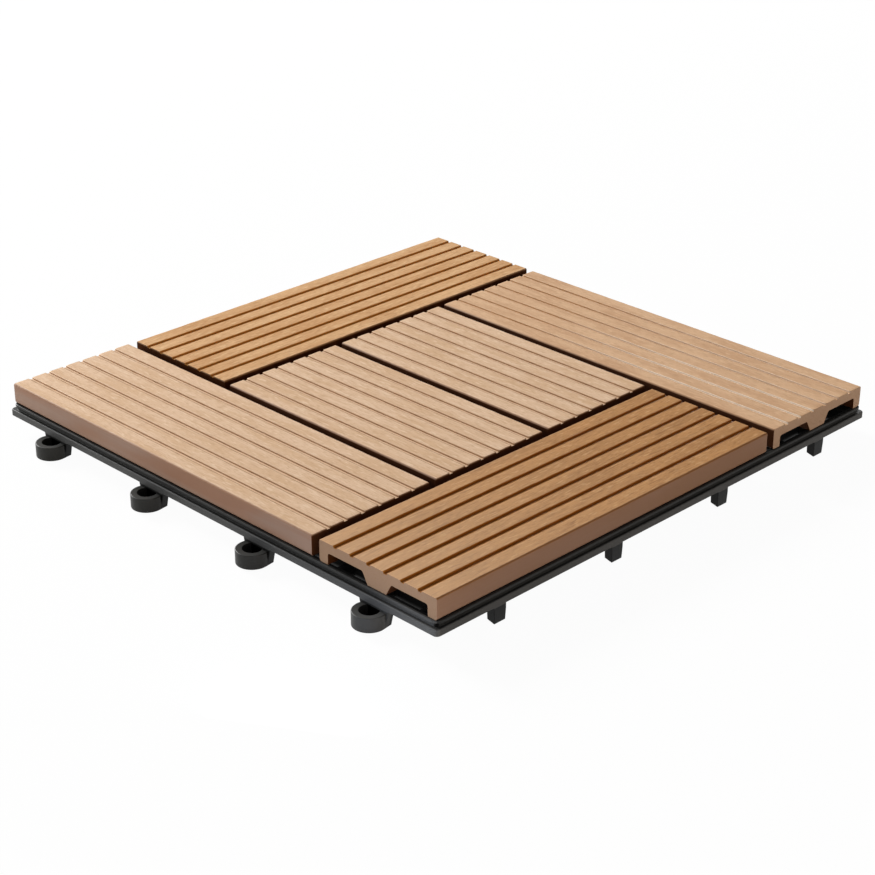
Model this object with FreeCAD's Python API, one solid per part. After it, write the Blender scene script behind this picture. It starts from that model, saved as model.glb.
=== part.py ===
import FreeCAD, Part
import math
import os

# Interlocking deck tile: six grooved composite boards laid as a pinwheel and screwed from below to a
# moulded base grid, whose loops and pins clip onto the next tiles.
# Millimetres, +Z up, origin at the tile's centre on the ground.
# The loops stand out of the -X and -Y sides. The pins hang under the rim of the +X and +Y sides.

# Base grid, overall
base_side = 300.0  # over the outer faces of the flange
base_height = 14.5  # from the ground to the face that the boards lie on

# Rim, from the seat of the boards down
lip_reach = 1.1  # how far the lip stands out past the boards
lip_thickness = 1.2
lip_chamfer = 0.4
recess_reach = 0.2  # how far the wall between lip and flange stands out past the boards
recess_height = 1.8
flange_height = 3.3
flange_chamfer = 0.4
rim_wall = 2.0  # behind the recess
lip_corner_radius = 4.0
flange_corner_radius = 2.0

# Lattice under the boards
cells_per_row = 3  # an odd number puts a rib under the middle of each board
rib_thickness = 2.0
loop_to_rib = 0.6  # from a loop up to the ribs of the next tile, which pass over it

# Posts, eight-sided and hollow from below, that stand on the ground
post_sides = 8
post_width = 12.0  # across the flats
post_wall = 1.8
post_roof = 3.0  # what the screw clamps, under a board

# Loops and pins, in line with the rows of boards
loop_reach = 2.4  # from the flange's outer face to the centre of the loop's hole
loop_wall = 3.3
loop_height = 7.0
loop_arm_width = 14.0  # over both arms, where they end under the rim
loop_root_width = 18.0  # where the root has widened out to meet the rim's underside
pin_width = 7.3
pin_thickness = 4.4
pin_clearance = 0.15  # around a pin, in the loop of the next tile
pin_lift = 0.1  # from the ground to the pin's end
pin_root_height = 2.5  # the part of the pin that carries the flange's face on down
pin_width_taper = 0.25  # each side, over the tapered length
pin_face_taper = 0.2
pin_lead = 1.1  # how far the end slants up inwards, to find its way into a loop

# Rows of boards across the tile, and the gaps between boards
row_count = 4
board_gap = 4.0  # between long sides, also from tile to tile
end_gap = 5.0  # between a board's end and the next board's side

# Section of a board
board_thickness = 10.5
deck_thickness = 4.8  # above the two hollows
side_wall = 5.4
leg_top_width = 17.5  # the middle leg under the deck
leg_foot_width = 11.4  # the middle leg where it stands on the grid
top_edge_radius = 0.9
bottom_edge_radius = 1.4
hollow_radius = 1.2
groove_count = 6
groove_pitch = 10.2
groove_width = 2.2
groove_floor_width = 1.9
groove_depth = 0.8

# Screws, driven from below up a post and into the middle leg of a board
screw_sides = 8  # the round faces of a screw are drawn with this many flats
screw_radius = 1.75
screw_point_length = 3.0
screw_point_radius = 0.2
screw_cover = 3.0  # board left above the screw's point
head_radius = 3.5
head_height = 2.2
head_chamfer = 0.6
bore_clearance = 0.25  # around the screw, in the roof of a post
pilot_clearance = 0.05  # around the screw, in the board
pilot_extra_depth = 0.5

# Worked out from the sizes above
half_base = base_side / 2
half_field = half_base - board_gap / 2
row_pitch = base_side / row_count
board_width = row_pitch - board_gap
board_end = half_field - board_width - end_gap
lip_half = half_field + lip_reach
recess_half = half_field + recess_reach
rim_inner_half = recess_half - rim_wall
lip_bottom = base_height - lip_thickness
flange_top = lip_bottom - recess_height
flange_bottom = flange_top - flange_height
cell_pitch = row_pitch / cells_per_row
rib_bottom = loop_height + loop_to_rib
pin_reach = pin_thickness + pin_clearance - loop_reach  # past the centre of the loop's hole
loop_hole_radius = math.hypot(pin_width / 2 + pin_clearance, max(loop_reach, pin_reach))
loop_radius = loop_hole_radius + loop_wall
head_seat = base_height - post_roof
head_end = head_seat - head_height
screw_point = base_height + board_thickness - screw_cover
up = FreeCAD.Vector(0, 0, 1)


def rounded_wire(corners, z):
    """A closed outline at height z through corners (x, y, radius), with an arc at each that has one."""
    edges = []
    last = None
    first = None
    count = len(corners)
    for index in range(count):
        x, y, radius = corners[index]
        corner = FreeCAD.Vector(x, y, z)
        before = FreeCAD.Vector(corners[index - 1][0], corners[index - 1][1], z)
        after_x, after_y, _ = corners[(index + 1) % count]
        after = FreeCAD.Vector(after_x, after_y, z)
        start = corner
        end = corner
        if radius > 0:
            back = (before - corner).normalize()
            on = (after - corner).normalize()
            half_angle = back.getAngle(on) / 2
            start = corner + back * (radius / math.tan(half_angle))
            end = corner + on * (radius / math.tan(half_angle))
            to_centre = (back + on).normalize()
            middle = corner + to_centre * (radius / math.sin(half_angle) - radius)
            arc = Part.Arc(start, middle, end).toShape()
        if last is None:
            first = start
        else:
            edges.append(Part.makeLine(last, start))
        if radius > 0:
            edges.append(arc)
        last = end
    edges.append(Part.makeLine(last, first))
    return Part.Wire(edges)


def prism(corners, low, high):
    """A solid with straight walls over the outline, from height low to height high."""
    return Part.Face(rounded_wire(corners, low)).extrude(up * (high - low))


def square(half, radius):
    """The corners of a square outline about the origin."""
    return [(-half, -half, radius), (half, -half, radius), (half, half, radius), (-half, half, radius)]


def oblong(x_low, x_high, y_low, y_high):
    """The corners of a rectangle with sharp corners."""
    return [(x_low, y_low, 0), (x_high, y_low, 0), (x_high, y_high, 0), (x_low, y_high, 0)]


def regular(x, y, inner_radius, sides):
    """The corners of a regular outline about (x, y) with its flats at the inner radius."""
    radius = inner_radius / math.cos(math.pi / sides)
    angles = [(index + 0.5) * 2 * math.pi / sides for index in range(sides)]
    return [(x + radius * math.cos(angle), y + radius * math.sin(angle), 0) for angle in angles]


def turned(shape, degrees):
    """The shape turned about the tile's upright axis."""
    copy = shape.copy()
    copy.rotate(FreeCAD.Vector(0, 0, 0), up, degrees)
    return copy


def spread(count, pitch):
    """Evenly spaced places about zero."""
    return [(index - (count - 1) / 2) * pitch for index in range(count)]


def edges_at(shape, z, half):
    """The edges of a ring's outline that lie at height z and reach out to the half width."""
    found = []
    for edge in shape.Edges:
        box = edge.BoundBox
        reach = max(abs(box.XMin), abs(box.XMax), abs(box.YMin), abs(box.YMax))
        level = abs(box.ZMin - z) < 1e-6 and abs(box.ZMax - z) < 1e-6
        if level and abs(reach - half) < 1e-6:
            found.append(edge)
    return found


# Base grid
def rim():
    """The rim: a lip at the top, a recess under it and a flange that stands out at the bottom."""
    recess_corner = lip_corner_radius - (lip_half - recess_half)
    wall = prism(square(recess_half, recess_corner), flange_bottom, base_height)
    lip = prism(square(lip_half, lip_corner_radius), lip_bottom, base_height)
    flange = prism(square(half_base, flange_corner_radius), flange_bottom, flange_top)
    ring = wall.fuse([lip, flange]).removeSplitter()
    ring = ring.makeChamfer(lip_chamfer, edges_at(ring, base_height, lip_half))
    ring = ring.makeChamfer(flange_chamfer, edges_at(ring, flange_top, half_base))
    return ring.cut(prism(square(rim_inner_half, 0), 0, base_height))


def lattice():
    """The crossing ribs, as one plate with a hole for each cell, let into the rim's wall."""
    wires = [rounded_wire(square((rim_inner_half + recess_half) / 2, 0), rib_bottom)]
    lines = spread(row_count * cells_per_row, cell_pitch)
    lows = [-rim_inner_half] + [line + rib_thickness / 2 for line in lines]
    highs = [line - rib_thickness / 2 for line in lines] + [rim_inner_half]
    for x_low, x_high in zip(lows, highs):
        for y_low, y_high in zip(lows, highs):
            wires.append(rounded_wire(oblong(x_low, x_high, y_low, y_high), rib_bottom))
    plate = Part.makeFace(Part.Compound(wires), "Part::FaceMakerBullseye")
    return plate.extrude(up * (base_height - rib_bottom))


def post(x, y):
    """A post from the ground to the boards' seat."""
    return prism(regular(x, y, post_width / 2, post_sides), 0, base_height)


def post_ribs(x, y):
    """Two crossing ribs that join a post to the lattice, wherever in a cell it stands."""
    half_rib = rib_thickness / 2
    arm = cell_pitch / 2 + half_rib
    along_x = prism(oblong(x - arm, x + arm, y - half_rib, y + half_rib), rib_bottom, base_height)
    along_y = prism(oblong(x - half_rib, x + half_rib, y - arm, y + arm), rib_bottom, base_height)
    return [along_x, along_y]


def post_hollow(x, y):
    """The hollow of a post, open to the ground."""
    return prism(regular(x, y, post_width / 2 - post_wall, post_sides), 0, head_seat)


def post_bore(x, y):
    """The screw's way through the roof of a post."""
    return prism(regular(x, y, screw_radius + bore_clearance, post_sides), 0, base_height)


def loop_outline(x):
    """A loop seen from above on the -Y side: round outside, with arms that run back under the rim."""
    centre = FreeCAD.Vector(x, -half_base - loop_reach, 0)
    right_end = FreeCAD.Vector(x + loop_arm_width / 2, -rim_inner_half, 0)
    left_end = FreeCAD.Vector(x - loop_arm_width / 2, -rim_inner_half, 0)
    # Each arm leaves the round part along its tangent.
    away = right_end - centre
    touch_angle = math.atan2(away.y, away.x) - math.acos(loop_radius / away.Length)
    touch_x = loop_radius * math.cos(touch_angle)
    touch_y = centre.y + loop_radius * math.sin(touch_angle)
    right_touch = FreeCAD.Vector(x + touch_x, touch_y, 0)
    left_touch = FreeCAD.Vector(x - touch_x, touch_y, 0)
    outermost = centre - FreeCAD.Vector(0, loop_radius, 0)
    return Part.Wire(
        [
            Part.makeLine(right_end, right_touch),
            Part.Arc(right_touch, outermost, left_touch).toShape(),
            Part.makeLine(left_touch, left_end),
            Part.makeLine(left_end, right_end),
        ]
    )


def loop(x):
    """A loop of the -Y side: it stands on the ground, and its root widens out to the rim's underside."""
    half_foot = loop_arm_width / 2
    half_top = loop_root_width / 2
    foot = oblong(x - half_foot, x + half_foot, -half_base, -rim_inner_half)
    top = oblong(x - half_top, x + half_top, -half_base, -rim_inner_half)
    root = Part.makeLoft([rounded_wire(foot, 0), rounded_wire(top, flange_bottom)], True, True)
    return Part.Face(loop_outline(x)).extrude(up * loop_height).fuse(root)


def loop_hole(x):
    """The hole of a loop: round, with a flat back in line with the flange's face."""
    centre = FreeCAD.Vector(x, -half_base - loop_reach, 0)
    hole = Part.makeCylinder(loop_hole_radius, loop_height, centre)
    reach = loop_reach + loop_radius
    before_rim = oblong(x - loop_radius, x + loop_radius, -half_base - reach, -half_base)
    return hole.common(prism(before_rim, 0, loop_height))


def pin(x):
    """A pin, drawn on the -Y side: a root in line with the flange, then a taper to a slanted end."""
    half_width = pin_width / 2
    end_half = half_width - pin_width_taper
    outer = -half_base
    inner = outer + pin_thickness
    root_end = flange_bottom - pin_root_height
    section = oblong(x - half_width, x + half_width, outer, inner)
    end_section = oblong(x - end_half, x + end_half, outer + pin_face_taper, inner)
    outlines = [rounded_wire(end_section, pin_lift), rounded_wire(section, root_end)]
    slant = [(outer, pin_lift), (inner, pin_lift + pin_lead), (inner, 0), (outer, 0)]
    below = facet([FreeCAD.Vector(x - half_width, y, z) for y, z in slant])
    tapered = Part.makeLoft(outlines, True, True).cut(below.extrude(FreeCAD.Vector(pin_width, 0, 0)))
    return prism(section, root_end, flange_bottom).fuse(tapered)


def base_grid(screw_places):
    """The whole base grid, moulded in one piece."""
    # The middle post takes no screw, so it is solid.
    added = [lattice(), post(0, 0), *post_ribs(0, 0)]
    removed = []
    for x, y in screw_places:
        added.extend([post(x, y), *post_ribs(x, y)])
        removed.extend([post_hollow(x, y), post_bore(x, y)])
    for x in spread(row_count, row_pitch):
        for quarter in (0, -90):
            added.append(turned(loop(x), quarter))
            removed.append(turned(loop_hole(x), quarter))
        for quarter in (90, 180):
            added.append(turned(pin(x), quarter))
    return rim().fuse(added).cut(removed).removeSplitter()


# Boards
def board_section():
    """A board's section in the YZ plane: two hollows below, grooves along the top."""
    half = board_width / 2
    roof = board_thickness - deck_thickness
    floor = board_thickness - groove_depth
    inner_side = half - side_wall
    leg_top = leg_top_width / 2
    leg_foot = leg_foot_width / 2
    corners = [
        (-half, 0, bottom_edge_radius),
        (-inner_side, 0, 0),
        (-inner_side, roof, hollow_radius),
        (-leg_top, roof, 0),
        (-leg_foot, 0, 0),
        (leg_foot, 0, 0),
        (leg_top, roof, 0),
        (inner_side, roof, hollow_radius),
        (inner_side, 0, 0),
        (half, 0, bottom_edge_radius),
        (half, board_thickness, top_edge_radius),
    ]
    for middle in reversed(spread(groove_count, groove_pitch)):
        corners += [
            (middle + groove_width / 2, board_thickness, 0),
            (middle + groove_floor_width / 2, floor, 0),
            (middle - groove_floor_width / 2, floor, 0),
            (middle - groove_width / 2, board_thickness, 0),
        ]
    corners.append((-half, board_thickness, top_edge_radius))
    section = Part.Face(rounded_wire(corners, 0))
    # A third of a turn about the diagonal of X, Y and Z takes X to Y and Y to Z.
    section.rotate(FreeCAD.Vector(0, 0, 0), FreeCAD.Vector(1, 1, 1), 120)
    return section


def board(low, high, middle, screws):
    """A board along X on its seat, from x = low to x = high, with a pilot hole for each screw."""
    body = board_section().extrude(FreeCAD.Vector(high - low, 0, 0))
    body.translate(FreeCAD.Vector(low, middle, base_height))
    radius = screw_radius + pilot_clearance
    top = screw_point + pilot_extra_depth
    holes = [prism(regular(x, middle, radius, post_sides), base_height, top) for x in screws]
    return body.cut(holes)


# Screws
def facet(points):
    """A flat face through the points."""
    return Part.Face(Part.makePolygon([*points, points[0]]))


def faceted(rings):
    """A solid with flat faces between rings of points, each ring with as many points as the next."""
    faces = [facet(rings[0]), facet(rings[-1])]
    for lower, upper in zip(rings, rings[1:]):
        for index in range(len(lower)):
            faces.append(facet([lower[index - 1], lower[index], upper[index], upper[index - 1]]))
    return Part.Solid(Part.Shell(faces)).removeSplitter()


def screw(x, y):
    """A pan head screw, its point up and its head under the roof of a post."""
    outline = [
        (head_end, head_radius - head_chamfer),
        (head_end + head_chamfer, head_radius),
        (head_seat, head_radius),
        (head_seat, screw_radius),
        (screw_point - screw_point_length, screw_radius),
        (screw_point, screw_point_radius),
    ]
    # The corners lie on the true round, so that the screw stays within its holes.
    flat = math.cos(math.pi / screw_sides)
    rings = []
    for z, radius in outline:
        corners = regular(x, y, radius * flat, screw_sides)
        rings.append([FreeCAD.Vector(corner_x, corner_y, z) for corner_x, corner_y, _ in corners])
    return faceted(rings)


def save(name, shape):
    """Write one named piece and print what it measures."""
    shape.exportStep("parts/" + name + ".step")
    box = shape.BoundBox
    print(name, "solids", len(shape.Solids), "volume", round(shape.Volume, 1), "valid", shape.isValid())
    print("   x", round(box.XMin, 2), round(box.XMax, 2), "y", round(box.YMin, 2), round(box.YMax, 2),
          "z", round(box.ZMin, 2), round(box.ZMax, 2))


def main():
    """Build each piece and write it to its own file."""
    os.makedirs("parts", exist_ok=True)
    rows = spread(row_count, row_pitch)
    outer_screws = [x for x in rows if -half_field < x < board_end]
    inner_screws = [x for x in rows if -board_end < x < board_end]
    outer_board = board(-half_field, board_end, rows[0], outer_screws)
    screw_places = []
    # The four outer boards follow one another round the middle, each a quarter turn on.
    for name, quarter in (("front", 0), ("right", 90), ("back", 180), ("left", 270)):
        save(name + "_board", turned(outer_board, quarter))
        turn = FreeCAD.Rotation(up, quarter)
        spots = [turn.multVec(FreeCAD.Vector(x, rows[0], 0)) for x in outer_screws]
        places = [(spot.x, spot.y) for spot in spots]
        save(name + "_board_screws", Part.Compound([screw(x, y) for x, y in places]))
        screw_places += places
    for name, middle in zip(("inner_front", "inner_back"), rows[1:-1]):
        save(name + "_board", board(-board_end, board_end, middle, inner_screws))
        places = [(x, middle) for x in inner_screws]
        save(name + "_board_screws", Part.Compound([screw(x, y) for x, y in places]))
        screw_places += places
    save("base_grid", base_grid(screw_places))


main()
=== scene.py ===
"""Interlocking deck tile: finish of its boards, base grid and screws, studio and camera.

Lengths are millimetres in the tile's own frame, +Z up, with the origin on the ground under the
tile's centre. They become metres as the last step of each mesh. Outlines are complex numbers,
x + iy, because a turn is then a product.
"""

import logging
import math
from collections.abc import Iterator
from dataclasses import dataclass, field
from enum import Enum

import bpy
import numpy as np
from bpy.types import ID, Material, Node, NodeSocket, NodeTree, Object
from mathutils import Matrix, Vector


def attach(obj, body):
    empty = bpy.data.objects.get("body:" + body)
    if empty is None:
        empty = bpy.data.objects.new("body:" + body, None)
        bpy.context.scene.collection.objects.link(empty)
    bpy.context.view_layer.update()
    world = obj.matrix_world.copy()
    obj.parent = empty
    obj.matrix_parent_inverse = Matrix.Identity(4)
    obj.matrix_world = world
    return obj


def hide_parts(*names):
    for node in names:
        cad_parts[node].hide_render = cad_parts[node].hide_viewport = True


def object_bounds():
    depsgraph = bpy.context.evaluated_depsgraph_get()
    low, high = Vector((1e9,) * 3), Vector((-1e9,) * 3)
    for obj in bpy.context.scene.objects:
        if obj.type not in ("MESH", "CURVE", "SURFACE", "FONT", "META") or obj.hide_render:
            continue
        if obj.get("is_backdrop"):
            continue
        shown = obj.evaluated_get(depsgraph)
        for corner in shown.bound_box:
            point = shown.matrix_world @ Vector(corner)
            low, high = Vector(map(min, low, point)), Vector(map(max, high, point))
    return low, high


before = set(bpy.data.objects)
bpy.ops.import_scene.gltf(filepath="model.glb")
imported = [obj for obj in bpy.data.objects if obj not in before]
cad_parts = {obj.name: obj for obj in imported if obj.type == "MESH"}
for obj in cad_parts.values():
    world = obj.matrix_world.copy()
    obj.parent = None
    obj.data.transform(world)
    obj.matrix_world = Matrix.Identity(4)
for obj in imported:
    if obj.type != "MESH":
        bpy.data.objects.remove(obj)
CAD_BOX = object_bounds()
MM = 0.001
# The middle of each row of boards, where loops, pins and screws stand
ROWS = (-112.5, -37.5, 37.5, 112.5)
# A hollow post stands under each screw.
POSTS = [complex(x, y) for x in ROWS for y in ROWS]
Corners = list[tuple[float, float, float]]
Rings = Iterator[np.ndarray]
log = logging.getLogger("deck_tile")


class Slot(Enum):
    """The material slots of the record."""

    COMPOSITE = "wood_composite"
    PLASTIC = "grid_plastic"
    STEEL = "screw_steel"


class Join(Enum):
    """What becomes of a solid that is joined with another."""

    ADD = "UNION"
    TAKE_AWAY = "DIFFERENCE"


# Nodes
def linear(hex_colour: str) -> tuple[float, float, float, float]:
    """Turn an sRGB hex colour into linear light, opaque, by the sRGB standard's curve.

    Args:
        hex_colour: The colour, such as "#D5B396".

    Returns:
        Red, green, blue and alpha.
    """
    shares = np.array([int(hex_colour[start : start + 2], 16) for start in (1, 3, 5)]) / 255
    light = np.where(shares <= 0.04045, shares / 12.92, ((shares + 0.055) / 1.055) ** 2.4)
    return (*light.tolist(), 1.0)


def connect(node: Node, inputs: dict) -> None:
    """Give a node's inputs their links and values.

    Args:
        node: The node.
        inputs: What goes into each input, by its name or number: a node, which gives its first
            output, one output of a node, a hex colour, or a value.
    """
    for name, value in inputs.items():
        source = value.outputs[0] if isinstance(value, Node) else value
        if isinstance(source, NodeSocket):
            node.id_data.links.new(source, node.inputs[name])
        else:
            node.inputs[name].default_value = linear(value) if isinstance(value, str) else value


def add_node(tree: NodeTree, kind: str, inputs: dict | None = None, **settings) -> Node:
    """Add one node with its settings and links.

    Args:
        tree: The node tree that gets it.
        kind: The node's type name without "ShaderNode".
        inputs: What goes into its inputs, as connect takes it.
        **settings: Values of the node's own properties.

    Returns:
        The new node.
    """
    node = tree.nodes.new("ShaderNode" + kind)
    for name, value in settings.items():
        setattr(node, name, value)
    connect(node, inputs or {})
    return node


def layered(tree: NodeTree, ground: Node | str, layers: list[tuple]) -> Node:
    """Lay colours over a ground, one after another.

    Args:
        tree: The node tree that gets them.
        ground: The colour underneath.
        layers: Each layer's colour, and its share over what lies below it.

    Returns:
        The node that gives the whole.
    """
    for colour, share in layers:
        ground = add_node(tree, "MixRGB", {"Fac": share, "Color1": ground, "Color2": colour})
    return ground


def new_material(name: str) -> tuple[Material, NodeTree, Node]:
    """Start a material.

    Args:
        name: Its name.

    Returns:
        The material, its node tree and its shader.
    """
    material = bpy.data.materials.new(name)
    material.use_nodes = True
    tree = material.node_tree
    return material, tree, tree.nodes["Principled BSDF"]


def placed(name: str, data: ID) -> Object:
    """Put a new object in the scene, at the origin.

    Args:
        name: Its name.
        data: Its mesh, light or camera.

    Returns:
        The object.
    """
    made = bpy.data.objects.new(name, data)
    bpy.context.scene.collection.objects.link(made)
    return made


# Shapes
@dataclass(frozen=True)
class Outline:
    """A closed outline, anticlockwise, with the outward direction at each of its points."""

    points: np.ndarray
    outward: np.ndarray

    @classmethod
    def rounded(cls, corners: Corners, steps: int) -> "Outline":
        """Round each corner of a polygon by an arc that touches both of its sides.

        The point at share s of an arc is its centre plus its first spoke turned by s times the
        corner's turn. Outward is a quarter turn to the right of the way along the arc.

        Args:
            corners: The polygon's corners, each x, y and the arc's radius.
            steps: How many spans each arc has.

        Returns:
            The rounded outline.
        """
        table = np.array(corners, float)
        tip = (table[:, 0] + 1j * table[:, 1])[:, None]
        radius = table[:, 2:]
        coming = tip - np.roll(tip, 1, axis=0)
        coming /= abs(coming)
        turn = np.angle(np.roll(coming, -1, axis=0) / coming)
        start = tip - coming * radius * np.tan(abs(turn) / 2)
        spoke = -1j * np.sign(turn) * coming * radius
        swing = np.exp(1j * turn * np.linspace(0, 1, steps + 1))
        return cls((start - spoke + spoke * swing).ravel(), (-1j * coming * swing).ravel())

    @classmethod
    def circle(cls, centre: complex, radius: float, count: int) -> "Outline":
        """A circle: the centre plus the radius times e^(i angle), at even angles."""
        spokes = np.exp(2j * np.pi * np.arange(count) / count)
        return cls(centre + radius * spokes, spokes)

    def carried(self, levels: np.ndarray) -> np.ndarray:
        """Carry the outline up through heights, drawn in along its outward directions.

        Args:
            levels: Rows of height and of how far the outline is drawn in there.

        Returns:
            Rings of points, as an array of levels by points by three.
        """
        drawn = self.points - self.outward * levels[:, 1:]
        height = np.broadcast_to(levels[:, :1], drawn.shape)
        return np.stack([drawn.real, drawn.imag, height], axis=-1)


def soft_levels(low: float, high: float, low_radius: float, high_radius: float) -> np.ndarray:
    """Levels of a wall whose ends are rounded by quarter circles of three spans.

    At angle a of a quarter circle of radius r the level is r (1 - cos a) from the end, drawn in
    r (1 - sin a).

    Args:
        low, high: The heights of the ends.
        low_radius, high_radius: Their radii.

    Returns:
        Rows of height and of how far the wall is drawn in there.
    """
    angle = np.linspace(0, np.pi / 2, 4)
    off_edge = 1 - np.cos(angle)
    drawn = 1 - np.sin(angle)
    lower = np.stack([low + low_radius * off_edge, low_radius * drawn], axis=1)
    upper = np.stack([high - high_radius * off_edge, high_radius * drawn], axis=1)
    return np.concatenate([lower, upper[::-1]])


def oblong(x_low: float, x_high: float, y_low: float, y_high: float, radius: float) -> Corners:
    """The corners of a rectangle, each with the same radius."""
    places = ((x_low, y_low), (x_high, y_low), (x_high, y_high), (x_low, y_high))
    return [(x, y, radius) for x, y in places]


def mirrored(corners: Corners) -> Corners:
    """The corners on the other side of the upright middle line, in the order that goes on there."""
    return [(-x, y, radius) for x, y, radius in reversed(corners)]


@dataclass
class Skin:
    """Closed surfaces that become one mesh."""

    points: list[np.ndarray] = field(default_factory=list)
    faces: list[list[int]] = field(default_factory=list)

    def add(self, rings: np.ndarray, quarters: int = 0, looped: bool = False) -> None:
        """Close a surface over rings of points, with its faces outwards.

        Neighbouring points of neighbouring rings make four-sided faces, and the first and the last
        ring a flat face each. The sum of point-triangle volumes tells which way round they lie.

        Args:
            rings: The rings, as an array of rings by points by three.
            quarters: How many quarter turns they make, anticlockwise from above.
            looped: Whether the last ring joins the first, as in a frame.
        """
        turned = (rings[..., 0] + 1j * rings[..., 1]) * 1j**quarters
        rings = np.stack([turned.real, turned.imag, rings[..., 2]], axis=-1)
        rows, columns, _ = rings.shape
        index = np.arange(rows * columns).reshape(rows, columns)
        low = index if looped else index[:-1]
        high = np.roll(index, -1, axis=0) if looped else index[1:]
        quads = np.stack([low, np.roll(low, -1, 1), np.roll(high, -1, 1), high], axis=-1)
        quads = quads.reshape(-1, 4)
        caps = [] if looped else [index[0, ::-1], index[-1]]
        hub = np.zeros(columns - 2, int)
        fans = [np.stack([cap[hub], cap[1:-1], cap[2:]], axis=1) for cap in caps]
        triangles = np.concatenate([quads[:, [0, 1, 2]], quads[:, [0, 2, 3]], *fans])
        flat = rings.reshape(-1, 3)
        first, second, third = (flat[triangles[:, corner]] for corner in range(3))
        inside_out = np.sum(first * np.cross(second, third)) < 0
        way = -1 if inside_out else 1
        start = sum(map(len, self.points))
        self.faces += (quads[:, ::way] + start).tolist()
        self.faces += [(cap[::way] + start).tolist() for cap in caps]
        self.points.append(flat)

    def mesh(self, name: str) -> Object:
        """Make the mesh, in metres, and its object, at the origin.

        Args:
            name: Its name.

        Returns:
            The object.
        """
        mesh = bpy.data.meshes.new(name)
        mesh.from_pydata(np.concatenate(self.points) * MM, [], self.faces)
        return placed(name, mesh)


def joined(piece: Object, other: Object, join: Join) -> Object:
    """Add another solid to a piece, or take it away, and remove the other.

    Args:
        piece: The solid that stays.
        other: The one that is used up.
        join: What becomes of the other.

    Returns:
        The piece, with its new mesh.
    """
    cut = piece.modifiers.new("join", "BOOLEAN")
    cut.operation = join.value
    cut.solver = "MANIFOLD"
    cut.object = other
    evaluated = piece.evaluated_get(bpy.context.evaluated_depsgraph_get())
    result = bpy.data.meshes.new_from_object(evaluated)
    result.name = piece.name
    piece.modifiers.clear()
    spent = [piece.data, other.data]
    piece.data = result
    bpy.data.objects.remove(other)
    for mesh in spent:
        bpy.data.meshes.remove(mesh)
    return piece


def finished(piece: Object, material: Material, slot: Slot, node: str, crease: float) -> Object:
    """Shade a piece, give it its material and put it in its node's place.

    Args:
        piece: The piece's object.
        material: Its finish.
        slot: The record's slot of that finish; not used.
        node: The CAD node that it stands for.
        crease: The angle in degrees from which an edge stays sharp.

    Returns:
        The piece.
    """
    mesh = piece.data
    mesh.shade_smooth()
    mesh.set_sharp_from_angle(angle=math.radians(crease))
    weighted = piece.modifiers.new("flat faces stay flat", "WEIGHTED_NORMAL")
    weighted.keep_sharp = True
    mesh.materials.clear()
    mesh.materials.append(material)
    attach(piece, "root")
    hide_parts(node)
    log.info("%s: %d faces", piece.name, len(mesh.polygons))
    return piece


# Finishes
@dataclass(frozen=True)
class Pattern:
    """Blotches drawn out along a board.

    Each is about length by width millimetres, with finer detail in so many layers. The blotches'
    share rises from nothing where the noise is low to its most where the noise is high.
    """

    length: float
    width: float
    detail: float
    low: float
    high: float
    most: float = 1.0

    def laid(self, tree: NodeTree, grain: NodeSocket) -> tuple[Node, Node]:
        """Lay the pattern over a board.

        Args:
            tree: The material's nodes.
            grain: The place in millimetres along, across and up the board.

        Returns:
            The noise, about one half, and the blotches' share.
        """
        scale = (1 / self.length, 1 / self.width, 1 / self.width)
        scaled = add_node(tree, "Mapping", {"Vector": grain, "Scale": scale})
        inputs = {"Vector": scaled, "Scale": 1.0, "Detail": self.detail}
        noise = add_node(tree, "TexNoise", inputs)
        inputs = {"Value": noise, "From Min": self.low, "From Max": self.high, "To Max": self.most}
        return noise, add_node(tree, "MapRange", inputs, interpolation_type="SMOOTHSTEP")


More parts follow.
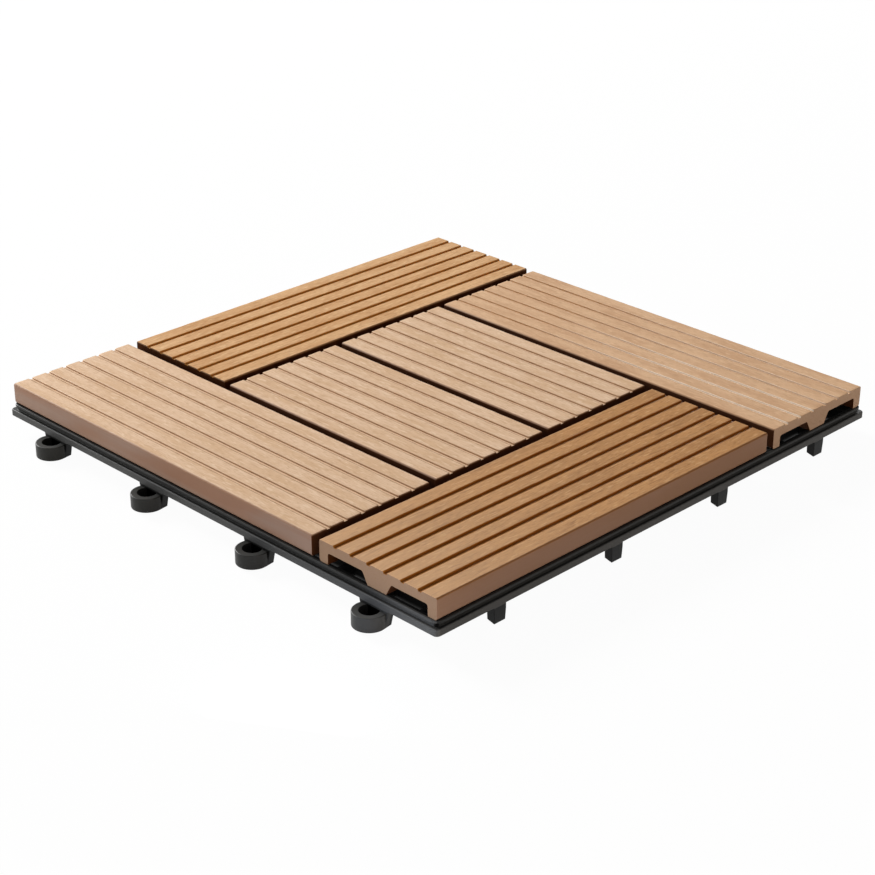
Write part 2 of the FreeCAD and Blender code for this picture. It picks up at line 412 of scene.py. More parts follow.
@dataclass(frozen=True)
class BrushedComposite:
    """Wood and plastic composite: extruded, its top brushed to a nap and its ends sawn.

    To the eye: a dry, pale, finely streaked top, a darker and smoother skin on the sides and in the
    grooves, and a plain, speckled, matt saw cut at the ends.
    """

    name: str
    ground: str
    ground_shade: str
    streak: str
    fleck: str
    streak_share: float
    # Painted shade on one shoulder of each groove, the foot of the wall opposite and the arrises
    painted_groove_shade: str
    groove: str
    skin: str = "#9B7F6E"
    skin_warm: str = "#966F57"
    # Painted shade of faces in a gap between boards or lining a hollow
    painted_gap_hollow_shade: str = "#4A2509"
    # Pale dust on the groove walls, with a painted glint over it
    dust_and_glint: str = "#FFF5E6"
    # Painted light on the top, towards one end of the board
    painted_end_light: str = "#D5B18E"
    cut: str = "#BE9877"
    cut_fleck: str = "#94714F"
    clouds: Pattern = Pattern(length=38, width=8, detail=3, low=0.35, high=0.68)
    flecks: Pattern = Pattern(length=6, width=1.3, detail=2, low=0.52, high=0.72, most=0.7)
    # Real fibres are 0.1 mm wide. They are drawn 0.5 mm wide, which is what one pixel can show.
    nap: Pattern = Pattern(length=3.6, width=0.5, detail=2, low=0.46, high=0.74, most=0.45)
    streaks: Pattern = Pattern(length=8, width=0.9, detail=2, low=0.52, high=0.72)
    skin_patches: Pattern = Pattern(length=75, width=14, detail=1, low=0.38, high=0.6)
    drag_lines: Pattern = Pattern(length=90, width=1.2, detail=2, low=0.4, high=0.7, most=0.35)
    flour: Pattern = Pattern(length=0.7, width=0.7, detail=2, low=0.5, high=0.8, most=0.4)
    top_roughness: float = 0.72
    skin_roughness: float = 0.46
    cut_roughness: float = 0.85
    index: float = 1.5
    specular: float = 0.15
    relief: float = 0.12
    relief_strength: float = 0.8
    skin_relief: float = 0.15
    # Heights in mm above which the painted gap and hollow shade is gone, and below which it is full
    gap_hollow_shade_top: float = 25.1
    gap_hollow_shade_full: float = 24.0

    def material(self) -> Material:
        """Build the finish from what the board's mesh says of each place: its grain and its marks.

        Returns:
            The material.
        """
        material, tree, shader = new_material(self.name)
        grain = add_node(tree, "Attribute", attribute_name="grain").outputs["Vector"]
        brushed, groove, groove_shade_share, dust_and_glint_mark, end_light_mark, cut, gap_hollow_shade = (
            add_node(tree, "Attribute", attribute_name=name).outputs["Fac"]
            for name in Board.MARKS
        )
        streak_patches = Pattern(
            length=30, width=9, detail=1, low=0.38, high=0.62, most=self.streak_share
        )
        shares = (self.clouds, self.flecks, self.streaks, streak_patches, self.skin_patches)
        clouds, flecks, streaks, patches, skin_patches = (
            pattern.laid(tree, grain)[1] for pattern in shares
        )
        nap, fibres = self.nap.laid(tree, grain)
        flour, grains = self.flour.laid(tree, grain)
        drag_lines = self.drag_lines.laid(tree, grain)[1]
        streaked = add_node(tree, "Math", {0: streaks, 1: patches}, operation="MULTIPLY")

        # Painted shade: faces in a gap or a hollow turn dark brown, fading out towards the top.
        place = add_node(tree, "TexCoord").outputs["Object"]
        height = add_node(tree, "SeparateXYZ", {0: place}).outputs["Z"]
        inputs = {"Value": height, "From Min": self.gap_hollow_shade_top * MM}
        inputs["From Max"] = self.gap_hollow_shade_full * MM
        depth = add_node(tree, "MapRange", inputs, interpolation_type="SMOOTHSTEP")
        gap_hollow_shade_share = add_node(tree, "Math", {0: gap_hollow_shade, 1: depth}, operation="MULTIPLY")

        # The top: soft clouds, pale flecks, a nap of fine lines, brown streaks, and painted light
        # that grows towards the board's low end.
        layers = [(self.ground_shade, clouds), (self.fleck, flecks), (self.streak, fibres)]
        layers += [(self.streak, streaked), (self.painted_end_light, end_light_mark)]
        top = layered(tree, self.ground, layers)
        # The skin left by the die: large greyish and warm patches, with faint drag lines.
        layers = [(self.skin_warm, skin_patches), (self.skin_warm, drag_lines)]
        skin = layered(tree, self.skin, layers)
        # The saw cut: flecks of wood flour.
        sawn = layered(tree, self.cut, [(self.cut_fleck, grains)])
        # Over the skin: painted groove shade, dust and painted glint, top, cut, painted gap shade
        layers = [(self.groove, groove), (self.painted_groove_shade, groove_shade_share), (self.dust_and_glint, dust_and_glint_mark)]
        layers += [(top, brushed), (sawn, cut), (self.painted_gap_hollow_shade, gap_hollow_shade_share)]
        whole = layered(tree, skin, layers)

        inputs = {"Value": brushed, "To Min": self.skin_roughness, "To Max": self.top_roughness}
        matt = add_node(tree, "MapRange", inputs)
        limits = (("MAXIMUM", cut), ("MAXIMUM", gap_hollow_shade_share), ("MINIMUM", self.cut_roughness))
        for operation, limit in limits:
            matt = add_node(tree, "Math", {0: matt, 1: limit}, operation=operation)

        napped = add_node(tree, "Math", {0: brushed, 1: self.skin_relief}, operation="ADD")
        grainy = add_node(tree, "Math", {0: flour, 1: cut}, operation="MULTIPLY")
        relief = add_node(tree, "Math", {0: nap, 1: napped, 2: grainy}, operation="MULTIPLY_ADD")
        inputs = {"Height": relief, "Distance": self.relief * MM, "Strength": self.relief_strength}
        bump = add_node(tree, "Bump", inputs)
        connect(shader, {"Base Color": whole, "Roughness": matt, "Normal": bump})
        connect(shader, {"IOR": self.index, "Specular IOR Level": self.specular})
        return material


@dataclass(frozen=True)
class MouldedPolypropylene:
    """Dark grey polypropylene, injection-moulded in a spark-eroded tool: a soft, uneven satin.

    To the eye: paler on the flange, which is painted light, greyer on the loops, and near black
    elsewhere, with painted shade below the flange, inside the rim and in the loop holes, and a
    painted highlight on the front face near one corner.
    """

    name: str = "moulded_polypropylene"
    colour: str = "#252524"
    paler: str = "#2C2C2A"
    # Painted light on the flange
    painted_flange_light: str = "#4A4A49"
    shaded: str = "#080807"
    loops: str = "#30302E"
    # Painted highlight on the front face near the +X corner
    painted_corner_highlight: str = "#676765"
    # Painted shade inside the rim and in the loop holes, near black and rougher
    painted_inner_shade: str = "#050504"
    # Each tone's measure, where it sets in and is full, in millimetres, and its most
    bands: tuple[tuple[str, str, float, float, float], ...] = (
        ("painted_flange_light", "reach", 149.4, 149.8, 1.0),
        ("shaded", "Z", 8.2, 7.7, 1.0),
        ("loops", "reach", 150.2, 150.8, 1.0),
        ("painted_corner_highlight", "X", 98.0, 136.0, 0.5),
        ("front_face", "Y", -147.9, -148.1, 1.0),
        ("painted_inner_shade", "reach", 148.0, 147.6, 1.0),
        ("over_pins", "Z", 7.6, 9.6, 1.0),
        ("front_hole", "off_front_loop", 4.67, 4.57, 1.0),
        ("left_hole", "off_left_loop", 4.67, 4.57, 1.0),
        ("in_loop", "Z", 7.2, 7.1, 1.0),
    )
    # What then becomes of a tone's share, with another's
    changes: tuple[tuple[str, str, str], ...] = (
        ("painted_corner_highlight", "MULTIPLY", "front_face"),
        ("painted_inner_shade", "MULTIPLY", "over_pins"),
        ("front_hole", "MULTIPLY", "in_loop"),
        ("left_hole", "MULTIPLY", "in_loop"),
        ("painted_inner_shade", "MAXIMUM", "front_hole"),
        ("painted_inner_shade", "MAXIMUM", "left_hole"),
    )
    loop_pitch: float = 75.0
    loop_centre: float = -152.4
    least_rough: float = 0.34
    roughest: float = 0.52
    index: float = 1.49
    specular: float = 0.14
    cloud_size: float = 14.0
    cloud_detail: float = 4.0
    cloud_low: float = 0.35
    cloud_high: float = 0.7
    texture_size: float = 0.7
    texture_detail: float = 2.0
    relief: float = 0.05
    relief_strength: float = 0.6

    def measures(self, tree: NodeTree, place: NodeSocket) -> dict[str, Node | NodeSocket]:
        """Work out the lengths by which the tone changes.

        The reach is the greater of X and Y without their signs. The way off a loop is the distance
        from the nearest one's axis, with the place along the side wrapped to one pitch about it.

        Args:
            tree: The material's nodes.
            place: The place on the piece.

        Returns:
            X, Y, Z, the reach, and the ways off the loops of the front and of the left side.
        """
        split = add_node(tree, "SeparateXYZ", {0: place}).outputs
        lengths = {axis: split[axis] for axis in "XYZ"}
        ways = [add_node(tree, "Math", {0: split[axis]}, operation="ABSOLUTE") for axis in "XY"]
        lengths["reach"] = add_node(tree, "Math", dict(enumerate(ways)), operation="MAXIMUM")
        half = self.loop_pitch / 2 * MM
        for side, along, across in (("front", "X", "Y"), ("left", "Y", "X")):
            shifted = add_node(tree, "Math", {0: split[along], 1: half}, operation="ADD")
            beside = add_node(tree, "Math", {0: shifted, 1: half, 2: -half}, operation="WRAP")
            inputs = {0: split[across], 1: self.loop_centre * MM}
            out = add_node(tree, "Math", inputs, operation="SUBTRACT")
            offset = add_node(tree, "CombineXYZ", {0: beside, 1: out})
            away = add_node(tree, "VectorMath", {0: offset}, operation="LENGTH")
            lengths[f"off_{side}_loop"] = away.outputs["Value"]
        return lengths

    def material(self) -> Material:
        """Build the finish: clouds in the colour, bands of tone, and the tool's texture as relief.

        Returns:
            The material.
        """
        material, tree, shader = new_material(self.name)
        place = add_node(tree, "TexCoord").outputs["Object"]
        inputs = {"Vector": place, "Detail": self.cloud_detail}
        clouds = add_node(tree, "TexNoise", inputs | {"Scale": 1 / (self.cloud_size * MM)})
        span = {"From Min": self.cloud_low, "From Max": self.cloud_high}
        cloudy = add_node(tree, "MapRange", {"Value": clouds} | span)

        lengths = self.measures(tree, place)
        share = {}
        for tone, measure, start, full, most in self.bands:
            inputs = {"Value": lengths[measure], "From Min": start * MM, "From Max": full * MM}
            inputs["To Max"] = most
            share[tone] = add_node(tree, "MapRange", inputs, interpolation_type="SMOOTHSTEP")
        for tone, change, other in self.changes:
            inputs = {0: share[tone], 1: share[other]}
            share[tone] = add_node(tree, "Math", inputs, operation=change)
        # Layers: painted flange light, shade below, loop grey, painted highlight, painted inner
        # shade
        tones = ("painted_flange_light", "shaded", "loops", "painted_corner_highlight", "painted_inner_shade")
        layers = [(self.paler, cloudy)] + [(getattr(self, tone), share[tone]) for tone in tones]
        whole = layered(tree, self.colour, layers)
        inputs = {"Value": clouds, "To Min": self.least_rough, "To Max": self.roughest}
        satin = add_node(tree, "MapRange", inputs)
        matt = add_node(tree, "Math", {0: satin, 1: share["painted_inner_shade"]}, operation="MAXIMUM")
        inputs = {"Vector": place, "Detail": self.texture_detail}
        grit = add_node(tree, "TexNoise", inputs | {"Scale": 1 / (self.texture_size * MM)})
        inputs = {"Height": grit, "Distance": self.relief * MM, "Strength": self.relief_strength}
        bump = add_node(tree, "Bump", inputs)
        connect(shader, {"Base Color": whole, "Roughness": matt, "Normal": bump})
        connect(shader, {"IOR": self.index, "Specular IOR Level": self.specular})
        return material


@dataclass(frozen=True)
class ZincPlate:
    """Bright zinc plate on cold-headed steel: a bluish white metal, a little cloudy."""

    name: str = "bright_zinc_plate"
    colour: str = "#C9CBCC"
    dull: str = "#A9ABA9"
    least_rough: float = 0.2
    roughest: float = 0.45
    cloud_size: float = 1.5
    cloud_detail: float = 3.0

    def material(self) -> Material:
        """Build the finish: a metal whose plating clouds over in patches.

        Returns:
            The material.
        """
        material, tree, shader = new_material(self.name)
        place = add_node(tree, "TexCoord").outputs["Object"]
        inputs = {"Vector": place, "Detail": self.cloud_detail}
        clouds = add_node(tree, "TexNoise", inputs | {"Scale": 1 / (self.cloud_size * MM)})
        whole = layered(tree, self.colour, [(self.dull, clouds)])
        inputs = {"Value": clouds, "To Min": self.least_rough, "To Max": self.roughest}
        matt = add_node(tree, "MapRange", inputs)
        connect(shader, {"Base Color": whole, "Roughness": matt, "Metallic": 1.0})
        return material


# Pieces
@dataclass(frozen=True)
class Board:
    """A hollow grooved board, extruded in one piece and sawn to length.

    It is drawn along X and turned to its place. How much pale dust with a painted glint it
    shows, and how much painted light, are given as shares.
    """

    MARKS = ("brushed", "groove", "painted_groove_shade", "dust_and_glint_mark", "end_light_mark", "cut", "gap_hollow_shade")

    node: str
    low: float
    high: float
    middle: float
    quarters: int
    seed: int
    dust_and_glint: float = 0.0
    painted_end_light: float = 0.0
    # The section
    seat: float = 14.5
    width: float = 71.0
    thickness: float = 10.5
    deck_thickness: float = 4.8
    side_wall: float = 5.4
    leg_top_width: float = 17.5
    leg_foot_width: float = 11.4
    top_edge_radius: float = 0.8
    bottom_edge_radius: float = 1.4
    hollow_radius: float = 1.2
    corner_radius: float = 0.2
    arc_steps: int = 4
    # Its grooves
    groove_count: int = 6
    groove_pitch: float = 10.2
    groove_width: float = 2.2
    groove_floor_width: float = 1.9
    groove_depth: float = 0.8
    shoulder_width: float = 0.35
    shoulder_drop: float = 0.05
    shoulder_radius: float = 1.8
    groove_lip_radius: float = 0.15
    groove_foot_radius: float = 0.12
    # What extruding and sawing leave
    saw_burr: float = 0.1
    station_spacing: float = 1.6
    waver: float = 0.035
    waver_waves: int = 14
    waver_lengths: tuple[float, float] = (4.0, 60.0)
    grain_range: float = 500.0
    crease: float = 50.0
    # Where the marks lie: depths under the top, and shares of the outward direction
    brush_depth: float = 0.0005
    wall_tilt: float = 0.02
    slack: float = 0.1
    # The top arrises carry the painted groove shade at part strength
    arris_depth: float = 0.56
    arris_share: float = 0.55
    dust_glint_depth: float = 0.045
    dust_glint_start: float = 20.0
    dust_glint_span: float = 90.0
    dust_glint_low_side: float = 0.5
    outer_reach: float = 147.0

    def section_corners(self) -> Corners:
        """The corners of the section across the board, from its lower left, anticlockwise.

        The right half runs from the middle leg's foot round to the middle of the top. The left half
        mirrors it, and its last five corners, from the lower left on, come first.

        Returns:
            Rows of place across, height and radius.
        """
        half, top, sharp = self.width / 2, self.thickness, self.corner_radius
        inner, roof = half - self.side_wall, top - self.deck_thickness
        mouth, floor = self.groove_width / 2, top - self.groove_depth
        right = [
            (self.leg_foot_width / 2, 0, sharp),
            (self.leg_top_width / 2, roof, self.hollow_radius),
            (inner, roof, self.hollow_radius),
            (inner, 0, sharp),
            (half, 0, self.bottom_edge_radius),
            (half, top, self.top_edge_radius),
        ]
        wall = [
            (mouth + self.shoulder_width, top, self.shoulder_radius),
            (mouth, top - self.shoulder_drop, self.groove_lip_radius),
            (self.groove_floor_width / 2, floor, self.groove_foot_radius),
        ]
        for number in range(self.groove_count // 2):
            centre = ((self.groove_count - 1) / 2 - number) * self.groove_pitch
            right += [(centre + x, y, radius) for x, y, radius in wall + mirrored(wall)]
        left = mirrored(right)
        return left[-5:] + right + left[:-5]

    def marks(self, section: Outline, along: np.ndarray) -> list[np.ndarray]:
        """What the brush and the saw left at each place, and where light and shade are painted.

        The brush reaches what is level with the top. Painted shade lies on one shoulder of each
        groove, on the foot of the wall opposite, and at part strength on the top arrises. Pale dust
        with a painted glint lies on that wall, evenly more towards the low end. Painted light grows
        with the square of the way to the low end. Painted shade also lies on the strips, from each
        point of the section to the next, that stand in a gap between boards or line a hollow, and
        on sawn ends inside the tile.

        Args:
            section: The section's outline.
            along: The place of each point along the board, as stations by points.

        Returns:
            The shares in the order of MARKS: five for the points, then two for the faces.
        """
        depth = self.thickness - section.points.imag
        off_middle = abs(section.points.real)
        lip_facing = section.outward.real * (1 if self.quarters < 2 else -1)
        level = depth < self.brush_depth
        # Nothing but the grooves lies so near under the top between the side walls.
        groove = ~level & (depth < 2 * self.groove_depth)
        groove &= off_middle < self.width / 2 - self.side_wall
        foot = groove & (depth > self.groove_depth - self.slack)
        near_wall = groove & (lip_facing < -self.wall_tilt)
        # Painted shade: one shoulder of each groove and the foot of the wall opposite
        groove_shade_share = (groove & ~foot & (lip_facing > self.wall_tilt)) | (foot & near_wall)
        arris = ~level & (depth < self.arris_depth)
        arris &= off_middle > self.width / 2 - self.top_edge_radius
        # Pale dust with a painted glint on the wall opposite the shaded shoulder, more to the low
        # end
        dust_and_glint = self.dust_and_glint * np.clip((self.dust_glint_start - along) / self.dust_glint_span, 0, 1)
        dust_and_glint = dust_and_glint * np.where(section.points.real > 0, 1, self.dust_glint_low_side)
        # Painted light, growing with the square of the way to the low end
        way = np.clip((self.high - along) / (self.high - self.low), 0, 1)
        points = [level, groove, np.where(arris, self.arris_share, groove_shade_share)]
        points += [dust_and_glint * (near_wall & (depth > self.dust_glint_depth)), self.painted_end_light * way**2]

        run = np.roll(section.points, -1) - section.points
        middle = section.points + run / 2
        # Painted shade: strips in a gap between boards or lining a hollow, and sawn ends inside the
        # tile
        at_side = abs(middle.real) > (self.width - self.side_wall) / 2
        in_gap = at_side & (abs(run.imag) > abs(run.real))
        in_gap &= abs(self.middle + middle.real) < self.outer_reach
        hollow = ~at_side & (middle.imag < self.thickness - self.deck_thickness + self.slack)
        ends = [abs(end) < self.outer_reach for end in (self.low, self.high)]
        gap_hollow_shade = np.concatenate([np.tile(in_gap | hollow, len(along) - 1), ends])
        cut = np.arange(len(gap_hollow_shade)) >= len(gap_hollow_shade) - 2
        return [np.broadcast_to(share, along.shape) for share in points] + [cut, gap_hollow_shade]

    def wavered(self, stations: np.ndarray, count: int) -> np.ndarray:
        """How far each long edge stands out of its true line, as an extruded and brushed edge does.

        Each edge has its own sum of sine waves, whose heights are drawn from one spread.

        Args:
            stations: Places along the board.
            count: How many edges the section has.

        Returns:
            Millimetres, as an array of stations by edges.
        """
        chance = np.random.default_rng(self.seed)
        waves = (self.waver_waves, count)
        length = np.geomspace(*self.waver_lengths, self.waver_waves)
        phase = chance.uniform(0, 2 * np.pi, waves)
        height = chance.normal(0, self.waver, waves) / math.sqrt(self.waver_waves)
        angle = 2 * np.pi * stations[:, None, None] / length[:, None] + phase
        return np.einsum("wc,swc->sc", height, np.sin(angle))

    def build(self, material: Material) -> Object:
        """Carry the section along the board, drawn in a little at its sawn ends.

        Args:
            material: The board's finish.

        Returns:
            The board's object.
        """
        corners = self.section_corners()
        section = Outline.rounded(corners, self.arc_steps)
        first, last = self.low + self.saw_burr, self.high - self.saw_burr
        inner = np.linspace(first, last, round((last - first) / self.station_spacing) + 1)
        stations = np.array([self.low, *inner, self.high])
        drawn = np.zeros((len(stations), 1))
        drawn[[0, -1]] = self.saw_burr
        waver = np.repeat(self.wavered(stations, len(corners)), self.arc_steps + 1, axis=1)
        # The bottom stays flat on its seat.
        waver[:, section.points.imag < self.bottom_edge_radius] = 0
        flat = section.points + section.outward * (waver - drawn)
        along = np.broadcast_to(stations[:, None], flat.shape)
        rings = np.stack([along, self.middle + flat.real, self.seat + flat.imag], axis=-1)
        skin = Skin()
        skin.add(rings, self.quarters)
        board = skin.mesh(self.node.replace("_board", "_grooved_board"))

        # Each board is cut from another stretch of the extrusion, so its grain starts elsewhere.
        shift = np.random.default_rng(self.seed).uniform(-self.grain_range, self.grain_range, 3)
        grain = np.stack([along, flat.real, flat.imag], axis=-1) + shift
        attributes = board.data.attributes
        attributes.new("grain", "FLOAT_VECTOR", "POINT").data.foreach_set("vector", grain.ravel())
        for name, mark in zip(self.MARKS, self.marks(section, along)):
            attribute = attributes.new(name, "FLOAT", "POINT" if mark.ndim == 2 else "FACE")
            attribute.data.foreach_set("value", mark.astype(float).ravel())
        return finished(board, material, Slot.COMPOSITE, self.node, self.crease)


@dataclass(frozen=True)
class BaseGrid:
    """The moulded base: rim, lattice, posts, loops and pins, all in one."""

    node: str = "base_grid"
    side: float = 300.0
    height: float = 14.5
    crease: float = 38.0
    # Rim
    lip_half: float = 149.1
    lip_bottom: float = 13.3
    recess_half: float = 148.2
    flange_top: float = 11.5
    flange_bottom: float = 8.2
    rim_inner_half: float = 146.2
    lip_corner_radius: float = 4.0
    flange_corner_radius: float = 2.0
    edge_radius: float = 0.45
    small_radius: float = 0.2
    profile_steps: int = 4
    corner_steps: int = 8
    small_steps: int = 3
    # Lattice and posts
    rib_pitch: float = 25.0
    rib_count: int = 12
    rib_thickness: float = 2.0
    rib_bottom: float = 7.6
    rib_end_radius: float = 0.55
    soft_edge: float = 0.5
    seat_edge: float = 0.05
    post_radius: float = 6.0
    post_wall: float = 1.8
    post_roof: float = 3.0
    post_mouth: float = 0.3
    roof_radius: float = 0.4
    bore_radius: float = 2.0
    bore_chamfer: float = 0.2
    cut_past: float = 1.0
    rib_end_steps: int = 2
    post_sides: int = 48
    hollow_sides: int = 40
    # Loops
    loop_reach: float = 2.4
    loop_hole_radius: float = 4.494
    loop_hole_mouth: float = 0.25
    loop_wall: float = 3.3
    loop_height: float = 7.0
    loop_arm_half: float = 7.0
    loop_root_half: float = 9.0
    loop_root_radius: float = 0.4
    loop_foot_edge: float = 0.35
    loop_root_edge: float = 0.3
    loop_root_sunk: float = 0.5
    loop_steps: int = 16
    loop_hole_sides: int = 56
    # Heights from a loop's top, and how far its hole is drawn in there
    loop_hole_lip: tuple[tuple[float, float], ...] = (
        (-0.5, 0.0), (-0.15, -0.12), (0.0, -0.4), (1.1, -0.6),
    )
    # Pins
    pin_half: float = 3.65
    pin_thickness: float = 4.4
    pin_lift: float = 0.1
    pin_root_bottom: float = 5.7
    pin_width_taper: float = 0.25
    pin_face_taper: float = 0.2
    pin_lead: float = 1.1
    pin_radius: float = 0.25
    pin_root_sunk: float = 0.4

    def rim(self) -> np.ndarray:
        """The rim: its section carried round a square with rounded corners.

        All corners share the centres of the lip's, apart from the flange's, whose radius changes
        evenly on its way out from the recess to the flange's own.

        Returns:
            The rim's rings, the last of which joins the first.
        """
        soft, fine = self.edge_radius, self.small_radius
        half = self.side / 2
        inner, recess, lip = self.rim_inner_half, self.recess_half, self.lip_half
        corners = [(inner, self.flange_bottom, fine), (half, self.flange_bottom, fine)]
        corners += [(half, self.flange_top, soft), (recess, self.flange_top, fine)]
        corners += [(recess, self.lip_bottom, fine), (lip, self.lip_bottom, fine)]
        corners += [(lip, self.height, soft), (inner, self.height, fine)]
        profile = Outline.rounded(corners, self.profile_steps)
        reach, level = profile.points.real[:, None], profile.points.imag[:, None]
        centre = lip - self.lip_corner_radius
        way_out = (reach - recess) / (half - recess)
        at_recess = recess - centre
        at_flange = at_recess + (self.flange_corner_radius - at_recess) * way_out
        on_flange = (way_out > 0) & (level <= self.flange_top)
        radius = np.where(on_flange, at_flange, reach - centre)
        quarter = np.repeat(np.arange(4), self.corner_steps + 1)
        swing = np.tile(np.linspace(0, 1, self.corner_steps + 1), 4)
        diagonal = math.sqrt(2) * 1j ** (quarter + 0.5)
        flat = (reach - radius) * diagonal + radius * 1j ** (quarter + swing)
        return np.stack([flat.real, flat.imag, np.broadcast_to(level, flat.shape)], axis=-1)

    def ribs(self, lines: list[float], reach: float) -> Rings:
        """Ribs along X, rounded along their lower edges.

        Args:
            lines: Where the middle of each rib lies across.
            reach: How far the ribs reach from the middle, both ways.

        Yields:
            Each rib's rings.
        """
        half = self.rib_thickness / 2
        levels = soft_levels(self.rib_bottom, self.height, self.soft_edge, self.seat_edge)
        for line in lines:
            corners = oblong(-reach, reach, line - half, line + half, self.rib_end_radius)
            yield Outline.rounded(corners, self.rib_end_steps).carried(levels)

    def posts(self) -> Rings:
        """The posts, softened at the ground: one under each screw, and one in the middle."""
        levels = soft_levels(0, self.height, self.soft_edge, self.seat_edge)
        for place in (*POSTS, 0j):
            yield Outline.circle(place, self.post_radius, self.post_sides).carried(levels)

    def post_hollows(self) -> Rings:
        """What is hollow in the posts: a widened mouth, the hollow, its softened roof and the bore.

        Yields:
            Each hollow's rings.
        """
        hollow = self.post_radius - self.post_wall
        roof = self.height - self.post_roof
        bore = hollow - self.bore_radius
        soft, mouth, past = self.roof_radius, self.post_mouth, self.cut_past
        levels = [(-past, -mouth), (0, -mouth), (mouth, 0)]
        # The roof's softening has one point between its ends.
        levels += [(roof - soft, 0), (roof - 0.25 * soft, 0.3 * soft), (roof, soft), (roof, bore)]
        levels += [(self.height - self.bore_chamfer, bore)]
        levels += [(self.height + past, bore - self.bore_chamfer - past)]
        for place in POSTS:
            yield Outline.circle(place, hollow, self.hollow_sides).carried(np.array(levels))

    def loops(self) -> Rings:
        """The loops: round outside, with straight arms, and a root that widens on its way up.

        The round part is the rounding of two corners whose sides are the arms and the line across
        their end.

        Yields:
            The rings of each loop and of its root.
        """
        radius = self.loop_hole_radius + self.loop_wall
        centre = -self.side / 2 - self.loop_reach
        inner = -self.rim_inner_half
        arm, soft = self.loop_arm_half, self.loop_root_radius
        arm_end = complex(arm, inner - centre)
        lean = np.angle(arm_end) - math.acos(radius / abs(arm_end))
        # The arm's line is one radius from the centre, square to the lean, and meets the end line.
        corner_x = (radius + radius * math.sin(lean)) / math.cos(lean)
        ring_levels = soft_levels(0, self.loop_height, self.loop_foot_edge, self.soft_edge)
        root_top = self.flange_bottom + self.loop_root_sunk
        root_levels = soft_levels(0, root_top, self.loop_root_edge, self.seat_edge)
        for x in ROWS:
            corners = [(x + side * corner_x, centre - radius, radius) for side in (-1, 1)]
            corners += [(x + side * arm, inner, soft) for side in (1, -1)]
            yield Outline.rounded(corners, self.loop_steps).carried(ring_levels)
            corners = oblong(x - arm, x + arm, -self.side / 2, inner, soft)
            root = Outline.rounded(corners, self.small_steps).carried(root_levels)
            widening = (self.loop_root_half / arm - 1) * root[..., 2] / self.flange_bottom
            root[..., 0] += (root[..., 0] - x) * widening
            yield root

    def loop_holes(self) -> Rings:
        """The loops' holes: round, with a flat back in line with the flange, and a soft upper edge.

        Yields:
            Each hole's rings.
        """
        back = -self.side / 2
        mouth, radius, sides = self.loop_hole_mouth, self.loop_hole_radius, self.loop_hole_sides
        levels = [(-self.cut_past, -mouth), (0, -mouth), (mouth, 0)]
        levels += [(self.loop_height + rise, drawn) for rise, drawn in self.loop_hole_lip]
        for x in ROWS:
            hole = Outline.circle(complex(x, back - self.loop_reach), radius, sides)
            rings = hole.carried(np.array(levels))
            rings[..., 1] = np.minimum(rings[..., 1], back)
            yield rings

    def pins(self) -> Rings:
        """The pins: a straight root, then a taper to the end, with softened edges.

        Each ring mixes the root's outline with the end's in proportion to its height. The end's
        height rises with the way inwards, and that rise fades out towards the root.

        Yields:
            Each pin's rings.
        """
        outer = -self.side / 2
        inner = outer + self.pin_thickness
        root_top = self.flange_bottom + self.pin_root_sunk
        levels = soft_levels(self.pin_lift, root_top, self.small_radius, self.seat_edge)
        levels = np.insert(levels, len(levels) // 2, [self.pin_root_bottom, 0], axis=0)
        fall = (self.pin_root_bottom - levels[:, 0]) / (self.pin_root_bottom - self.pin_lift)
        share = np.clip(fall, 0, 1)[:, None, None]
        slim = self.pin_half - self.pin_width_taper
        shapes = ((self.pin_half, outer), (slim, outer + self.pin_face_taper))
        radius = self.pin_radius
        for x in ROWS:
            flats = [oblong(x - half, x + half, face, inner, radius) for half, face in shapes]
            root, end = (Outline.rounded(flat, self.small_steps).carried(levels) for flat in flats)
            pin = root * (1 - share) + end * share
            inward = (pin[..., 1] - outer) / self.pin_thickness
            pin[..., 2] += self.pin_lead * inward * share[..., 0]
            yield pin

    def build(self, material: Material) -> Object:
        """Join all the base's forms to one solid.

        Args:
            material: The base's finish.

        Returns:
            The base's object.
        """
        first = (1 - self.rib_count) / 2 * self.rib_pitch
        lines = [first + number * self.rib_pitch for number in range(self.rib_count)]
        lattice = (lines, (self.rim_inner_half + self.recess_half) / 2)
        middle_rib = ([0.0], (self.rib_pitch + self.rib_thickness) / 2)
        added = [(self.ribs(*bars), (turn,)) for bars in (lattice, middle_rib) for turn in (0, 1)]
        added += [(self.posts(), (0,)), (self.loops(), (0, 3)), (self.pins(), (1, 2))]
        removed = [(self.post_hollows(), (0,)), (self.loop_holes(), (0, 3))]
        rim = Skin()
        rim.add(self.rim(), looped=True)
        base = rim.mesh("moulded_base_grid")
        for join, forms in ((Join.ADD, added), (Join.TAKE_AWAY, removed)):
            for form, turns in forms:
                skin = Skin()
                for rings in form:
                    for quarters in turns:
                        skin.add(rings, quarters)
                base = joined(base, skin.mesh("form"), join)
        return finished(base, material, Slot.PLASTIC, self.node, self.crease)


